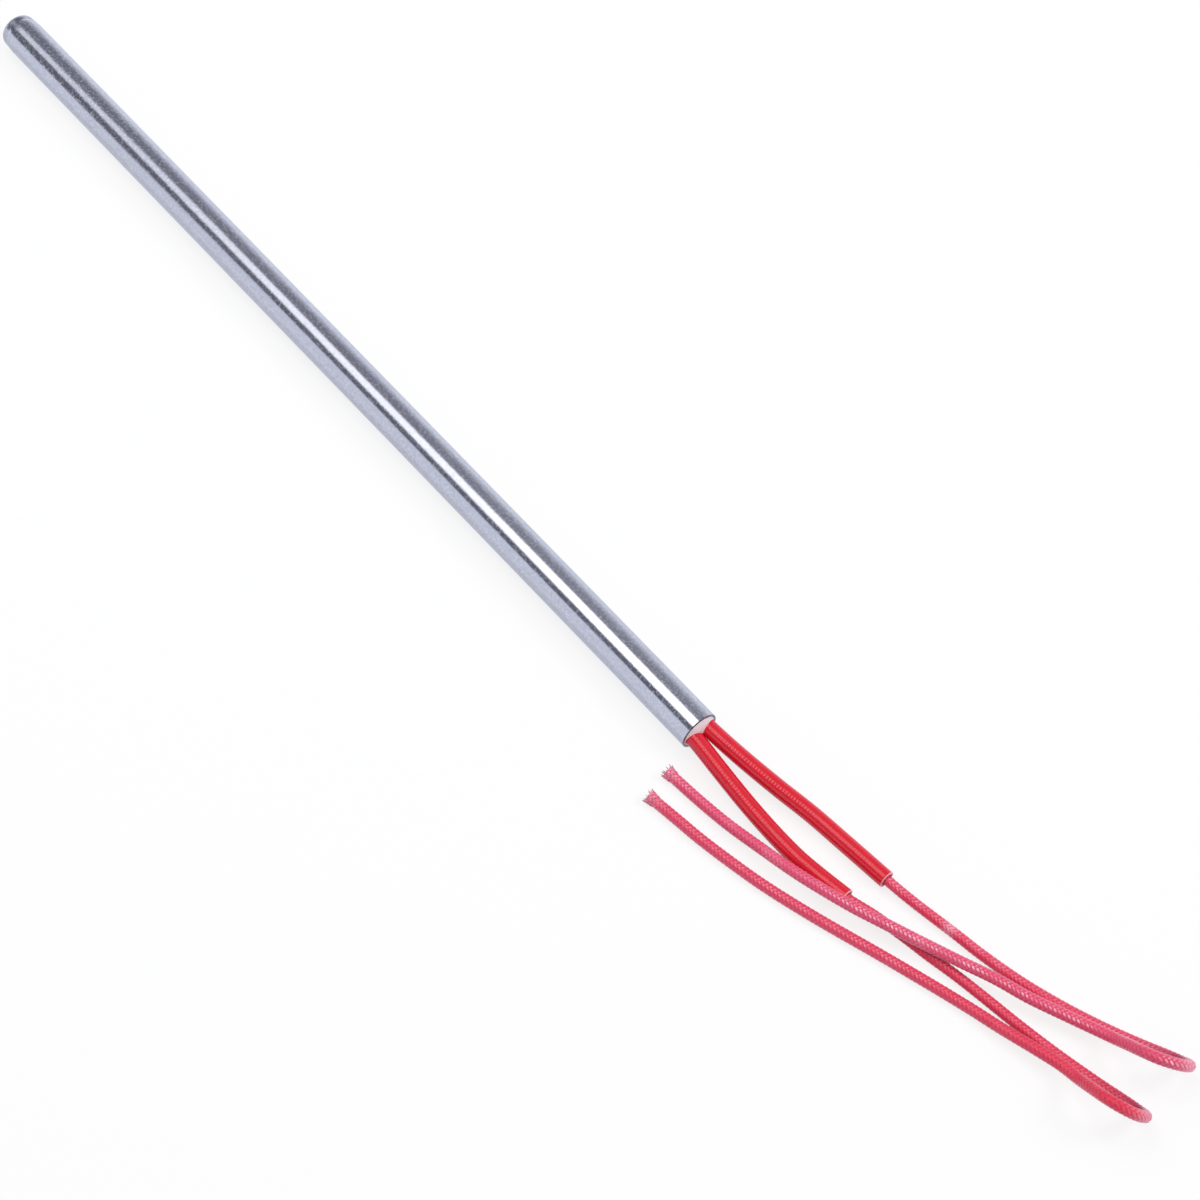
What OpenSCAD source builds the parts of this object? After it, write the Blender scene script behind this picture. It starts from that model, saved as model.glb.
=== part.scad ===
// Single-ended cartridge heater with two sleeved, braided leads.
// The sheath lies along X on the plane z = 0, its blunt nose towards -X and its leads towards +X.
// All lengths are in millimetres.

/* [Sheath] */
// Outside diameter of the sheath
sheath_od = 10; // [9.8:0.1:14]
// Sheath diameter that the sizes of core and leads below are given for
laid_od = 10; // [6:0.5:20]
// Overall length from the nose to the rim at the leads
heater_len = 270; // [160:5:400]
// Wall thickness of the sheath
sheath_wall = 0.5; // [0.3:0.05:0.55]
// Rounding of the rim at the leads
rim_round = 0.2; // [0.05:0.05:0.25]

/* [End cap] */
// Length of the cap that stands out of the tube
nose_len = 2.6; // [2.2:0.1:6]
// Rounding of the nose
nose_round = 1.8; // [0.4:0.1:2]
// Length of the cap's spigot in the tube
spigot_len = 1.5; // [1:0.1:4]
// How far the cap and the end of the sheath are drawn in, on the radius
nose_draw = 0.2; // [0.05:0.05:0.25]
// Length of sheath over which it is drawn in
draw_len = 2.5; // [1:0.5:6]

/* [Insulation] */
// Thickness of the tip spacer's floor
spacer_floor = 3; // [1:0.5:8]
// Depth of the tip spacer's cup, which clears the welded wire
spacer_cup = 1.5; // [1.4:0.1:4]
// Wall of the tip spacer's cup
spacer_wall = 0.7; // [0.4:0.05:0.75]
// Length of the bush that holds the two joints
bush_len = 14; // [12:0.5:24]
// Thickness of the mica washer
mica_thk = 0.6; // [0.3:0.1:1.2]
// Depth of the cement that seals the leads
potting_len = 5.7; // [5:0.1:12]
// How far the cement lies below the rim
potting_recess = 0.1; // [0.1:0.1:0.6]
// How far the cement swells out round the sleeves
potting_swell = 1.2; // [0.4:0.1:1.4]

/* [Core and winding] */
// Outside diameter of the ceramic core
core_od = 6.6; // [6.2:0.1:7]
// Diameter of the core's two bores
bore_d = 1.4; // [1.3:0.05:1.6]
// Length of the unwound core section in the cold zone
cold_len = 20; // [10:1:60]
// Diameter of the resistance wire
wire_d = 0.2; // [0.15:0.01:0.28]
// Pitch of the winding
coil_pitch = 2.1; // [1.9:0.05:4]
// Bare core at each end of the winding
wind_margin = 2; // [1:0.5:6]

/* [Terminals] */
// Diameter of the terminal pins
pin_d = 1.2; // [0.9:0.05:1.25]
// How far the long pin stands out of the core at the tip
pin_tip = 1; // [0.8:0.1:1.3]
// How far the short pin reaches into the wound core
pin_reach = 6; // [3:0.5:20]
// Outside diameter of the crimp ferrules
crimp_od = 2.3; // [1.9:0.1:2.8]
// Length of the crimp ferrules
crimp_len = 10; // [6:0.5:11]
// Depth of the dents that close a ferrule
dent_depth = 0.2; // [0.1:0.05:0.3]
// Radius of the tool that makes the dents
dent_r = 0.9; // [0.6:0.1:1.2]
// Diameter of the leads' stranded conductors
conductor_d = 1.1; // [0.8:0.05:1.2]

/* [Leads] */
// Distance between the two leads where they leave the heater
lead_pitch = 4.3; // [4.28:0.01:4.4]
// Outside diameter of a sleeve
sleeve_od = 4.2; // [3.8:0.05:4.2]
// Wall thickness of a sleeve
sleeve_wall = 0.45; // [0.3:0.05:0.5]
// Length of sleeve held in the cement
sleeve_grip = 5; // [3:0.5:5]
// Straight run of a sleeve outside the rim
sleeve_run = 1.5; // [1.4:0.1:3]
// Diameter over the braid of a lead
lead_d = 2.7; // [2.2:0.1:2.8]

/* [Fits] */
// Gap round pieces that are packed into the sheath
pack_gap = 0.02; // [0.01:0.01:0.03]
// Gap round crimps and conductors in their bores
slip_gap = 0.1; // [0.05:0.05:0.15]
// Gap between core sections that lets the wire's tail through
tail_gap = 0.4; // [0.35:0.05:1]
// Gap between pin and conductor inside a ferrule
butt_gap = 0.5; // [0.2:0.1:2]

/* [Hidden] */
$fn = 64;
core_count = 4;
coil_segs = 10;
coil_sides = 4;
sleeve_sides = 12;
lead_sides = 8;
cut = 1;

// Core and leads follow the sheath, so that a slimmer heater has slimmer ones
fit = sheath_od / laid_od;
core_dia = core_od * fit;
lead_span = lead_pitch * fit;
sleeve_dia = sleeve_od * fit;
braid_dia = lead_d * fit;

axis_z = sheath_od / 2;
tube_r = sheath_od / 2 - sheath_wall;
packed_r = tube_r - pack_gap;
nose_r = sheath_od / 2 - nose_draw;

// Stations along the sheath, measured from the nose
spacer_at = nose_len + spigot_len;
stack_at = spacer_at + spacer_floor + spacer_cup;
potting_end = heater_len - potting_recess;
potting_at = potting_end - potting_len;
swell_r = (packed_r * packed_r + potting_swell * potting_swell) / (2 * potting_swell);
mica_at = potting_at - mica_thk;
bush_at = mica_at - bush_len;
cold_at = bush_at - cold_len;
stack_end = cold_at - tail_gap;
core_len = (stack_end - stack_at) / core_count;
crimp_at = bush_at + (bush_len - crimp_len) / 2;
crimp_mid = crimp_at + crimp_len / 2;
sleeve_at = heater_len - sleeve_grip;

// The wire's section is a square of the same area, and its chords just clear the core
wire_r = wire_d / 2 * sqrt(PI / 2);
coil_r = core_dia / 2 / cos(180 / coil_segs) + wire_r;
coil_outer_r = coil_r + wire_r;
coil_turns = floor((stack_end - stack_at - 2 * wind_margin) / coil_pitch - 0.5) + 0.5;
weld_r = lead_span / 2 + pin_d / 2 + pack_gap;

// Routes of the leads from the lead face, x along the sheath and z above the plane it lies on
exit_a = [[-sleeve_grip, lead_span / 2, axis_z], [sleeve_run, lead_span / 2, axis_z]];
exit_b = [[-sleeve_grip, -lead_span / 2, axis_z], [sleeve_run, -lead_span / 2, axis_z]];
sleeved_a = [[11.1, 3.1, 4.3], [21.6, 4.7, 3.2], [31, 6.3, 2.4], [41.5, 7.3, 2.15], [54, 8.3, 2.15]];
sleeved_b = [[9.5, -2.7, 4.3], [19, -3.2, 3.2], [27.9, -3.4, 2.4], [36.5, -3.3, 2.15],
             [43.6, -2.6, 2.15], [51.4, -1.5, 2.15]];
out_a = [[62, 9.4, 1.6], [72.5, 11.1, 1.4], [81, 12.3, 1.4], [91, 14.3, 1.4], [100.5, 17, 1.4],
         [109.5, 20.2, 1.4], [117.5, 23.6, 1.4]];
out_b = [[58.7, 0.6, 1.6], [66.5, 2.1, 1.4], [72.9, 3.1, 1.4], [79.9, 4.4, 1.4], [87.5, 5.5, 1.4],
         [98.5, 6.9, 1.4], [108.5, 8.5, 1.4], [118.5, 10.5, 1.4]];
fold_a = [[123.2, 26.3, 1.4], [127, 27.3, 2.9], [129.3, 26.4, 6.6], [128.4, 23.5, 10.2],
          [125.2, 20.8, 11.7], [121.7, 19.6, 10.9], [118.1, 19.5, 8], [114.2, 19.3, 4.9]];
fold_b = [[125.3, 12.1, 1.4], [129.3, 12.3, 2.9], [131.3, 11, 6.6], [130.2, 8.4, 10.2],
          [126.8, 6.5, 11.7], [123.3, 5.9, 10.9], [119.5, 6.3, 8], [115.6, 6.8, 4.9]];
back_a = [[109.5, 17.9, 3.8], [102.6, 15.1, 3.8], [95.1, 12.1, 3.9], [87.1, 9.5, 4.1], [78.5, 6.1, 4.2],
          [68.9, 2.5, 4.2], [61.1, -0.4, 4.4], [54.3, -3, 4.8], [46.2, -5.3, 4.6], [39.1, -6.9, 4.1],
          [30.1, -8.3, 3.1], [21.1, -9.6, 2.2], [12, -10.4, 1.5], [2, -11.1, 1.4]];
back_b = [[110.5, 6.5, 3.7], [104, 5, 3.2], [96.1, 3.1, 2.4], [88.1, 1.4, 1.6], [78.5, -1.2, 1.4],
          [66, -4.9, 1.4], [51.1, -9.5, 1.4], [38.6, -12.9, 1.4], [29, -14.9, 1.4], [19.4, -16.5, 1.4],
          [11.5, -17.4, 1.4], [4, -18.3, 1.4]];
sleeve_route_a = concat(exit_a, sleeved_a * fit);
sleeve_route_b = concat(exit_b, sleeved_b * fit);
lead_route_a = concat(sleeve_route_a, concat(out_a, fold_a, back_a) * fit);
lead_route_b = concat(sleeve_route_b, concat(out_b, fold_b, back_b) * fit);

// Sweeping a round section along a list of points
function unit(v) = v / norm(v);
function heading(p, i) =
    i == 0 ? unit(p[1] - p[0]) :
    i == len(p) - 1 ? unit(p[i] - p[i - 1]) :
    unit(unit(p[i + 1] - p[i]) + unit(p[i] - p[i - 1]));
function square_to(n, t) = unit(n - (n * t) * t);
function normals(p) =
    [for (i = 0, n = square_to([0, 0, 1], heading(p, 0)); i < len(p);
          i = i + 1, n = square_to(n, heading(p, min(i, len(p) - 1)))) n];
function ring(c, t, n, r, sides) =
    [for (k = [0 : sides - 1]) c + r * (cos(360 * k / sides) * n + sin(360 * k / sides) * cross(t, n))];
function rings(p, r, sides) =
    let (n = normals(p)) [for (i = [0 : len(p) - 1]) each ring(p[i], heading(p, i), n[i], r, sides)];
function skin(count, sides, from) =
    [for (i = [0 : count - 2], k = [0 : sides - 1])
        let (a = from + i * sides + k, b = from + i * sides + (k + 1) % sides)
        each [[a, a + sides, b], [b, a + sides, b + sides]]];
function flipped(faces) = [for (f = faces) [f[2], f[1], f[0]]];

module solid_cord(p, r, sides) {
    last = (len(p) - 1) * sides;
    polyhedron(rings(p, r, sides),
               concat([[for (k = [0 : sides - 1]) k]],
                      skin(len(p), sides, 0),
                      [[for (k = [sides - 1 : -1 : 0]) last + k]]), convexity = 10);
}

module hollow_cord(p, r, wall, sides) {
    inner = len(p) * sides;
    last = (len(p) - 1) * sides;
    mouth = [for (k = [0 : sides - 1])
                let (j = (k + 1) % sides)
                each [[k, j, inner + k], [j, inner + j, inner + k]]];
    far_mouth = [for (f = mouth) [f[2] + last, f[1] + last, f[0] + last]];
    polyhedron(concat(rings(p, r, sides), rings(p, r - wall, sides)),
               concat(mouth, skin(len(p), sides, 0), flipped(skin(len(p), sides, inner)), far_mouth),
               convexity = 10);
}

// Placing pieces: along the sheath from the nose, and the two sides where pins and leads run
module along(station) {
    translate([station - heater_len / 2, 0, axis_z]) rotate([0, 90, 0]) children();
}
module turned(station) {
    along(station) rotate_extrude() children();
}
module side(y) {
    translate([0, y * lead_span / 2, 0]) children();
}
module both_sides() {
    for (y = [1, -1]) side(y) children();
}
module through(d, len) {
    translate([0, 0, -cut]) cylinder(d = d, h = len + 2 * cut);
}
module from_face() {
    translate([heater_len / 2, 0, 0]) children();
}
module corner(r) {
    difference() {
        square(r + cut);
        circle(r);
    }
}

module sheath() {
    tube_len = heater_len - nose_len;
    color([0.74, 0.75, 0.79]) turned(nose_len) difference() {
        polygon([[tube_r, 0], [nose_r, 0], [sheath_od / 2, draw_len], [sheath_od / 2, tube_len],
                 [tube_r, tube_len]]);
        translate([sheath_od / 2 - rim_round, tube_len - rim_round]) corner(rim_round);
    }
}

module end_cap() {
    color([0.66, 0.67, 0.71]) turned(0) difference() {
        union() {
            square([nose_r, nose_len]);
            square([packed_r, nose_len + spigot_len]);
        }
        translate([nose_r - nose_round, nose_round]) mirror([0, 1]) corner(nose_round);
    }
}

module tip_spacer() {
    cup_r = packed_r - spacer_wall;
    color([0.93, 0.91, 0.85]) turned(spacer_at) difference() {
        square([packed_r, spacer_floor + spacer_cup]);
        translate([0, spacer_floor]) square([cup_r, spacer_cup + cut]);
    }
}

module core_piece(station, len) {
    color([0.95, 0.94, 0.89]) along(station) difference() {
        cylinder(d = core_dia, h = len);
        both_sides() through(bore_d, len);
    }
}
module core_section(i) {
    core_piece(stack_at + (i - 1) * core_len, core_len);
}
module core_cold() {
    core_piece(cold_at, cold_len);
}

module resistance_coil() {
    start = stack_end - wind_margin;
    finish = start - coil_turns * coil_pitch;
    near = stack_end + tail_gap / 2;
    far = stack_at - pin_tip / 2;
    helix = [for (i = [0 : coil_turns * coil_segs])
                [start - i * coil_pitch / coil_segs, coil_r * cos(360 * i / coil_segs),
                 coil_r * sin(360 * i / coil_segs)]];
    wire = concat([[near, weld_r, 0], [near, coil_r, 0]], helix, [[far, -coil_r, 0], [far, -weld_r, 0]]);
    color([0.55, 0.52, 0.5]) translate([-heater_len / 2, 0, axis_z]) solid_cord(wire, wire_r, coil_sides);
}

module pin(station) {
    color([0.76, 0.74, 0.7]) cylinder(d = pin_d, h = crimp_mid - butt_gap / 2 - station);
}
module short_pin() {
    station = stack_end - pin_reach;
    along(station) side(1) pin(station);
}
module long_pin() {
    station = stack_at - pin_tip;
    along(station) side(-1) pin(station);
}

module oxide_fill() {
    wound_len = cold_at - stack_at;
    wound_r = coil_outer_r + pack_gap;
    core_r = core_dia / 2 + pack_gap;
    color([0.9, 0.89, 0.86]) turned(stack_at) union() {
        translate([wound_r, 0]) square([packed_r - wound_r, wound_len]);
        translate([core_r, wound_len]) square([packed_r - core_r, cold_len]);
    }
}

module lead_bush() {
    color([0.96, 0.95, 0.92]) along(bush_at) difference() {
        cylinder(r = packed_r, h = bush_len);
        both_sides() through(crimp_od + 2 * slip_gap, bush_len);
    }
}

module crimp(y) {
    hole_d = max(pin_d, conductor_d) + slip_gap;
    color([0.72, 0.7, 0.66]) along(crimp_at) side(y) difference() {
        cylinder(d = crimp_od, h = crimp_len);
        through(hole_d, crimp_len);
        for (z = [crimp_len / 4, crimp_len * 3 / 4])
            translate([-(crimp_od / 2 + dent_r - dent_depth), 0, z]) rotate([90, 0, 0])
                cylinder(r = dent_r, h = crimp_od + 2 * cut, center = true);
    }
}

module conductor(y) {
    station = crimp_mid + butt_gap / 2;
    color([0.8, 0.78, 0.74]) along(station) side(y) cylinder(d = conductor_d, h = sleeve_at - station);
}

module mica_washer() {
    color([0.85, 0.8, 0.66]) along(mica_at) difference() {
        cylinder(r = packed_r, h = mica_thk);
        both_sides() through(conductor_d + 2 * slip_gap, mica_thk);
    }
}

module potting() {
    color([0.95, 0.9, 0.9]) along(potting_at) difference() {
        intersection() {
            cylinder(r = packed_r, h = potting_len + potting_swell);
            translate([0, 0, potting_len + potting_swell - swell_r]) sphere(r = swell_r);
        }
        both_sides() through(conductor_d + 2 * pack_gap, potting_len);
        both_sides() translate([0, 0, sleeve_at - potting_at])
            cylinder(d = sleeve_dia + 2 * pack_gap, h = sleeve_grip + sleeve_run);
    }
}

module sleeve(route) {
    color([0.86, 0.13, 0.17]) from_face() hollow_cord(route, sleeve_dia / 2, sleeve_wall, sleeve_sides);
}

module lead(route) {
    color([0.87, 0.32, 0.44]) from_face() solid_cord(route, braid_dia / 2, lead_sides);
}

sheath();
end_cap();
tip_spacer();
core_section(1);  // core_1
core_section(2);  // core_2
core_section(3);  // core_3
core_section(4);  // core_4
core_cold();
resistance_coil();
short_pin();
long_pin();
oxide_fill();
lead_bush();
crimp(1);  // crimp_a
crimp(-1);  // crimp_b
conductor(1);  // conductor_a
conductor(-1);  // conductor_b
mica_washer();
potting();
sleeve(sleeve_route_a);  // sleeve_a
sleeve(sleeve_route_b);  // sleeve_b
lead(lead_route_a);  // lead_a
lead(lead_route_b);  // lead_b
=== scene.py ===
# %% [markdown]
# A cartridge heater is a slim steel tube that slides into a bored block and heats it from inside.
# This lesson dresses the CAD model of one: a ground steel barrel with a rounded nose, and two braided
# leads that leave the other end in red sleeves and are folded back on themselves.
# The CAD frame is loaded first.

# %% Load the frame
import math

import bpy
import numpy as np
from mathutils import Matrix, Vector


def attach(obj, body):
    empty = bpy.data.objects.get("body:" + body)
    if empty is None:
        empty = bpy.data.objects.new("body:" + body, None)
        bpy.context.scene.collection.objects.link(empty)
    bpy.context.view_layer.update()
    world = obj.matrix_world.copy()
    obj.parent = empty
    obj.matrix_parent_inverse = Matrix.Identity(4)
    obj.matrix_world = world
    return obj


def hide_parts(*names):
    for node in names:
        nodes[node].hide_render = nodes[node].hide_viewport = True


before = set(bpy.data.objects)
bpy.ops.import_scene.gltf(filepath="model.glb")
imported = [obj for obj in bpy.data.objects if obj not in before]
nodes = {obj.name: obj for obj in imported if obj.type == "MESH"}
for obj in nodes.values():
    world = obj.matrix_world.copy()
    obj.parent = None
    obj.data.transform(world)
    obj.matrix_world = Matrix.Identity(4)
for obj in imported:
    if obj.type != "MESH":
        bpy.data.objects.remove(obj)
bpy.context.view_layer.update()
MM = 0.001

# %% [markdown]
# The camera comes first, because everything else is judged through it. A long lens from well above,
# with no roll, gives the picture its steep diagonal. A real lens is set by its focal length in
# millimetres; here it comes from the focal length in pixels of a square picture.

# %% Camera
PICTURE_PX = 1200
FOCAL_PX = 3150
SENSOR_MM = 36
CAMERA_MM = Vector((371.4, -230.4, 643.0))
SIGHT = Vector((-0.3776, 0.3205, -0.8687))
CLIP_START = 0.01

bpy.ops.object.select_all(action="DESELECT")
bpy.ops.object.camera_add(location=CAMERA_MM * MM)
camera = bpy.context.object
camera.data.sensor_width = SENSOR_MM
camera.data.lens = SENSOR_MM * FOCAL_PX / PICTURE_PX
camera.rotation_euler = SIGHT.to_track_quat("-Z", "Y").to_euler()
camera.data.clip_start = CLIP_START
bpy.context.scene.camera = camera
bpy.context.scene.view_settings.view_transform = "Standard"
print("lens in mm:", round(camera.data.lens, 1))

# %% [markdown]
# Each lead leaves the lead face side by side with the other, sinks to the table inside its sleeve, runs
# out, turns over in one small upright fold and comes back towards the heater. A route is a short list of
# given points, the same ones as in the CAD source. They could be handles of a Bezier
# curve, but a Catmull-Rom line passes through every point, so what is listed is where the lead lies.

# %% Routes of the leads, in millimetres from the lead face
LEAD_FACE = 135
AXIS_Z = 5
EXIT_Y = 2.15
sleeved_a = [(-5, EXIT_Y, AXIS_Z), (1.5, EXIT_Y, AXIS_Z), (11.1, 3.1, 4.3), (21.6, 4.7, 3.2),
             (31, 6.3, 2.4), (41.5, 7.3, 2.15), (54, 8.3, 2.15)]
route_a = sleeved_a + [
    (62, 9.4, 1.6), (72.5, 11.1, 1.4), (81, 12.3, 1.4), (91, 14.3, 1.4), (100.5, 17, 1.4),
    (109.5, 20.2, 1.4), (117.5, 23.6, 1.4), (123.2, 26.3, 1.4), (127, 27.3, 2.9), (129.3, 26.4, 6.6),
    (128.4, 23.5, 10.2), (125.2, 20.8, 11.7), (121.7, 19.6, 10.9), (118.1, 19.5, 8), (114.2, 19.3, 4.9),
    (109.5, 17.9, 3.8), (102.6, 15.1, 3.8), (95.1, 12.1, 3.9), (87.1, 9.5, 4.1), (78.5, 6.1, 4.2),
    (68.9, 2.5, 4.2), (61.1, -0.4, 4.4), (54.3, -3, 4.8), (46.2, -5.3, 4.6), (39.1, -6.9, 4.1),
    (30.1, -8.3, 3.1), (21.1, -9.6, 2.2), (12, -10.4, 1.5), (2, -11.1, 1.4)]
sleeved_b = [(-5, -EXIT_Y, AXIS_Z), (1.5, -EXIT_Y, AXIS_Z), (9.5, -2.7, 4.3), (19, -3.2, 3.2),
             (27.9, -3.4, 2.4), (36.5, -3.3, 2.15), (43.6, -2.6, 2.15), (51.4, -1.5, 2.15)]
route_b = sleeved_b + [
    (58.7, 0.6, 1.6), (66.5, 2.1, 1.4), (72.9, 3.1, 1.4), (79.9, 4.4, 1.4), (87.5, 5.5, 1.4),
    (98.5, 6.9, 1.4), (108.5, 8.5, 1.4), (118.5, 10.5, 1.4), (125.3, 12.1, 1.4), (129.3, 12.3, 2.9),
    (131.3, 11, 6.6), (130.2, 8.4, 10.2), (126.8, 6.5, 11.7), (123.3, 5.9, 10.9), (119.5, 6.3, 8),
    (115.6, 6.8, 4.9), (110.5, 6.5, 3.7), (104, 5, 3.2), (96.1, 3.1, 2.4), (88.1, 1.4, 1.6),
    (78.5, -1.2, 1.4), (66, -4.9, 1.4), (51.1, -9.5, 1.4), (38.6, -12.9, 1.4), (29, -14.9, 1.4),
    (19.4, -16.5, 1.4), (11.5, -17.4, 1.4), (4, -18.3, 1.4)]
print("points on the routes:", len(route_a), "and", len(route_b))

# %% [markdown]
# A round section has to be carried along each route. If its directions were taken from the curve's own
# bend, they would flip where the bend changes side and the braid would twist there. Turning the last
# direction only as far as the line turns keeps the section steady.

# %% A smooth line and the frame that is carried along it
SPAN_STEPS = 40
UP = np.array([0.0, 0.0, 1.0])


def smooth_line(points, step):
    """Points every step along the Catmull-Rom line through the given ones, in metres."""
    p = (np.array(points, float) + (LEAD_FACE, 0, 0)) * MM
    p = np.vstack([2 * p[0] - p[1], p, 2 * p[-1] - p[-2]])
    t = np.linspace(0, 1, SPAN_STEPS, endpoint=False)[:, None]
    spans = []
    for a, b, c, d in zip(p[:-3], p[1:-2], p[2:-1], p[3:]):
        bend = 2 * a - 5 * b + 4 * c - d
        spans.append(0.5 * (2 * b + (c - a) * t + bend * t ** 2 + (3 * b - a - 3 * c + d) * t ** 3))
    dense = np.vstack(spans + [p[-2:-1]])
    along = np.concatenate([[0], np.linalg.norm(np.diff(dense, axis=0), axis=1).cumsum()])
    even = np.linspace(0, along[-1], int(along[-1] / step) + 1)
    return np.stack([np.interp(even, along, dense[:, k]) for k in range(3)], axis=1), even


def carried_frame(line):
    """Two directions square to the line at each point, carried along it without twisting."""
    heading = np.gradient(line, axis=0)
    heading /= np.linalg.norm(heading, axis=1)[:, None]
    side = np.empty_like(line)
    n = UP
    for i, t in enumerate(heading):
        n = n - (n @ t) * t
        n /= np.linalg.norm(n)
        side[i] = n
    return side, np.cross(heading, side)


for label, route in (("a", route_a), ("b", route_b)):
    print("route", label, "length in mm:", round(smooth_line(route, MM)[1][-1] / MM, 1))

# %% [markdown]
# A braid is two sets of yarns that wind round the lead in opposite ways, each passing over two of the
# other set and under the next two. Modelling every yarn as its own tube would cost millions of faces for
# something that is a few pixels wide. The yarns' relief on one tube gives the same crowns and valleys,
# and the relief is kept on the mesh for the material to read.

# %% Braid relief
YARNS = 8
BRAID_PITCH = 8.8
CROWN_POWER = 3
SAMPLES = 160


def braid_relief(turn, along):
    """Height of a two-over-two-under braid, from 0 in the gaps to 1 on the crowns."""
    right = YARNS * (turn - along / BRAID_PITCH)
    left = YARNS * (turn + along / BRAID_PITCH)

    def crown(u):
        return 1 - np.abs(2 * (u % 1) - 1) ** CROWN_POWER

    right_rise = 0.5 + 0.5 * np.sin(math.pi / 2 * (np.floor(right) + left))
    left_rise = 0.5 - 0.5 * np.sin(math.pi / 2 * (np.floor(left) + right))
    return np.maximum(crown(right) * right_rise, crown(left) * left_rise)


one_turn = np.linspace(0, 1, SAMPLES)[:, None]
one_pitch = np.linspace(0, BRAID_PITCH, SAMPLES)
print("mean height of the braid:", round(float(braid_relief(one_turn, one_pitch).mean()), 2))

# %% [markdown]
# A lead, a sleeve and a yarn are all rings of points joined up. A bevelled curve would give a plain round
# tube; rings of our own let every point have its own radius. Nothing may dip below the table, so low
# points are lifted to just above it, which also flattens the underside a little where a lead lies.

# %% Tubes from rings
FLOOR_GAP = 0.03 * MM


def ring_points(centre, side, across, radius):
    """A ring round the centre, with one radius per point."""
    turn = np.linspace(0, 2 * math.pi, len(radius), endpoint=False)[:, None]
    return centre + radius[:, None] * (np.cos(turn) * side + np.sin(turn) * across)


def tube_faces(count, sides, close, base=0):
    """Faces between rings of points. close joins the last ring to the first, else both get caps."""
    k = np.arange(sides)
    nxt = (k + 1) % sides
    faces = []
    for i in range(count if close else count - 1):
        a, b = base + i * sides, base + (i + 1) % count * sides
        faces += np.stack([a + k, a + nxt, b + nxt, b + k], axis=1).tolist()
    if not close:
        faces += [(base + k[::-1]).tolist(), (base + (count - 1) * sides + k).tolist()]
    return faces


def piece_from_rings(name, rings, faces):
    """A smooth object from rings of points in metres, with no point below the table."""
    points = np.concatenate(rings)
    points[:, 2] = np.maximum(points[:, 2], FLOOR_GAP)
    mesh = bpy.data.meshes.new(name)
    mesh.from_pydata(points.tolist(), [], faces)
    mesh.polygons.foreach_set("use_smooth", [True] * len(faces))
    piece = bpy.data.objects.new(name, mesh)
    bpy.context.scene.collection.objects.link(piece)
    return piece


def keep_on_mesh(piece, label, values):
    """Stores one number per point on the mesh, for its material."""
    layer = piece.data.attributes.new(label, "FLOAT", "POINT")
    layer.data.foreach_set("value", np.concatenate(values).astype(np.float32))


print("lowest point of any tube in mm:", FLOOR_GAP / MM)

# %% [markdown]
# The lead itself: glass yarns braided over the insulated wire. Close to the sleeve the braid is pulled
# tight and thin, and on the way back it is slack and a little thicker. At its free end the braid is cut
# and opens into a short frayed cup. Five numbers are kept on each point for the material: the braid's
# relief, the wear at the fold and the free end, how far the pink has faded (age), where whitish dashes are
# painted on the upper crowns as a painted highlight, and where painted shade darkens the inner side of the
# fold.

# %% Sizes of a braided lead, in millimetres
LEAD_SIDES = 48
LEAD_STEP = 0.2
CROWN_MM = 0.16
TIGHT_TO, SLACK_FROM = 70, 100
LEAD_RADII = (1.1, 1.12, 1.18, 1.23, 1.23)
CUP_MM = 2.6
CUP_FLARE = 0.32
CUT_RINGS = ((0, 0.72), (4, 0.6), (10, 0.5))
FOLD_MM = 12
FOLD_WEAR, FOLD_WEAR_PAST = 0.6, 2
END_WEAR, WEAR_WIDTH = 0.5, 3
AGE_INSET, BEFORE_FOLD, PAST_FOLD = 60, 20, 10
# Painted highlight: crowns on the side that faces this direction get whitish dashes.
GLINT_SIDE = np.array([0.5, 0, 0.866])
GLINT_FROM, GLINT_FULL = 0.8, 0.9
# Painted shade: how far the inner side of a fold is darkened.
CREASE_FROM, CREASE_FULL = 0.1, 0.6
CUT_FACE = {"relief": 0.0, "wear": 0.2, "age": 1.0, "glint": 0.0, "crease_shade": 0.0}


def ramp(value, low, high):
    """0 below low, 1 above high and straight between them."""
    return np.clip((value - low) / (high - low), 0, 1)


def hump(along, place, width):
    """A soft hump of height 1 along the lead."""
    return np.exp(-((along - place) / width) ** 2)


print("numbers kept on each point of a lead:", list(CUT_FACE))

# %% [markdown]
# Every length along the lead is measured from its start in the cement, and the fold is where the line
# reaches farthest from the heater. The cut face at the free end is three more rings that step inwards and
# back, so that the end looks hollow.

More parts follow.
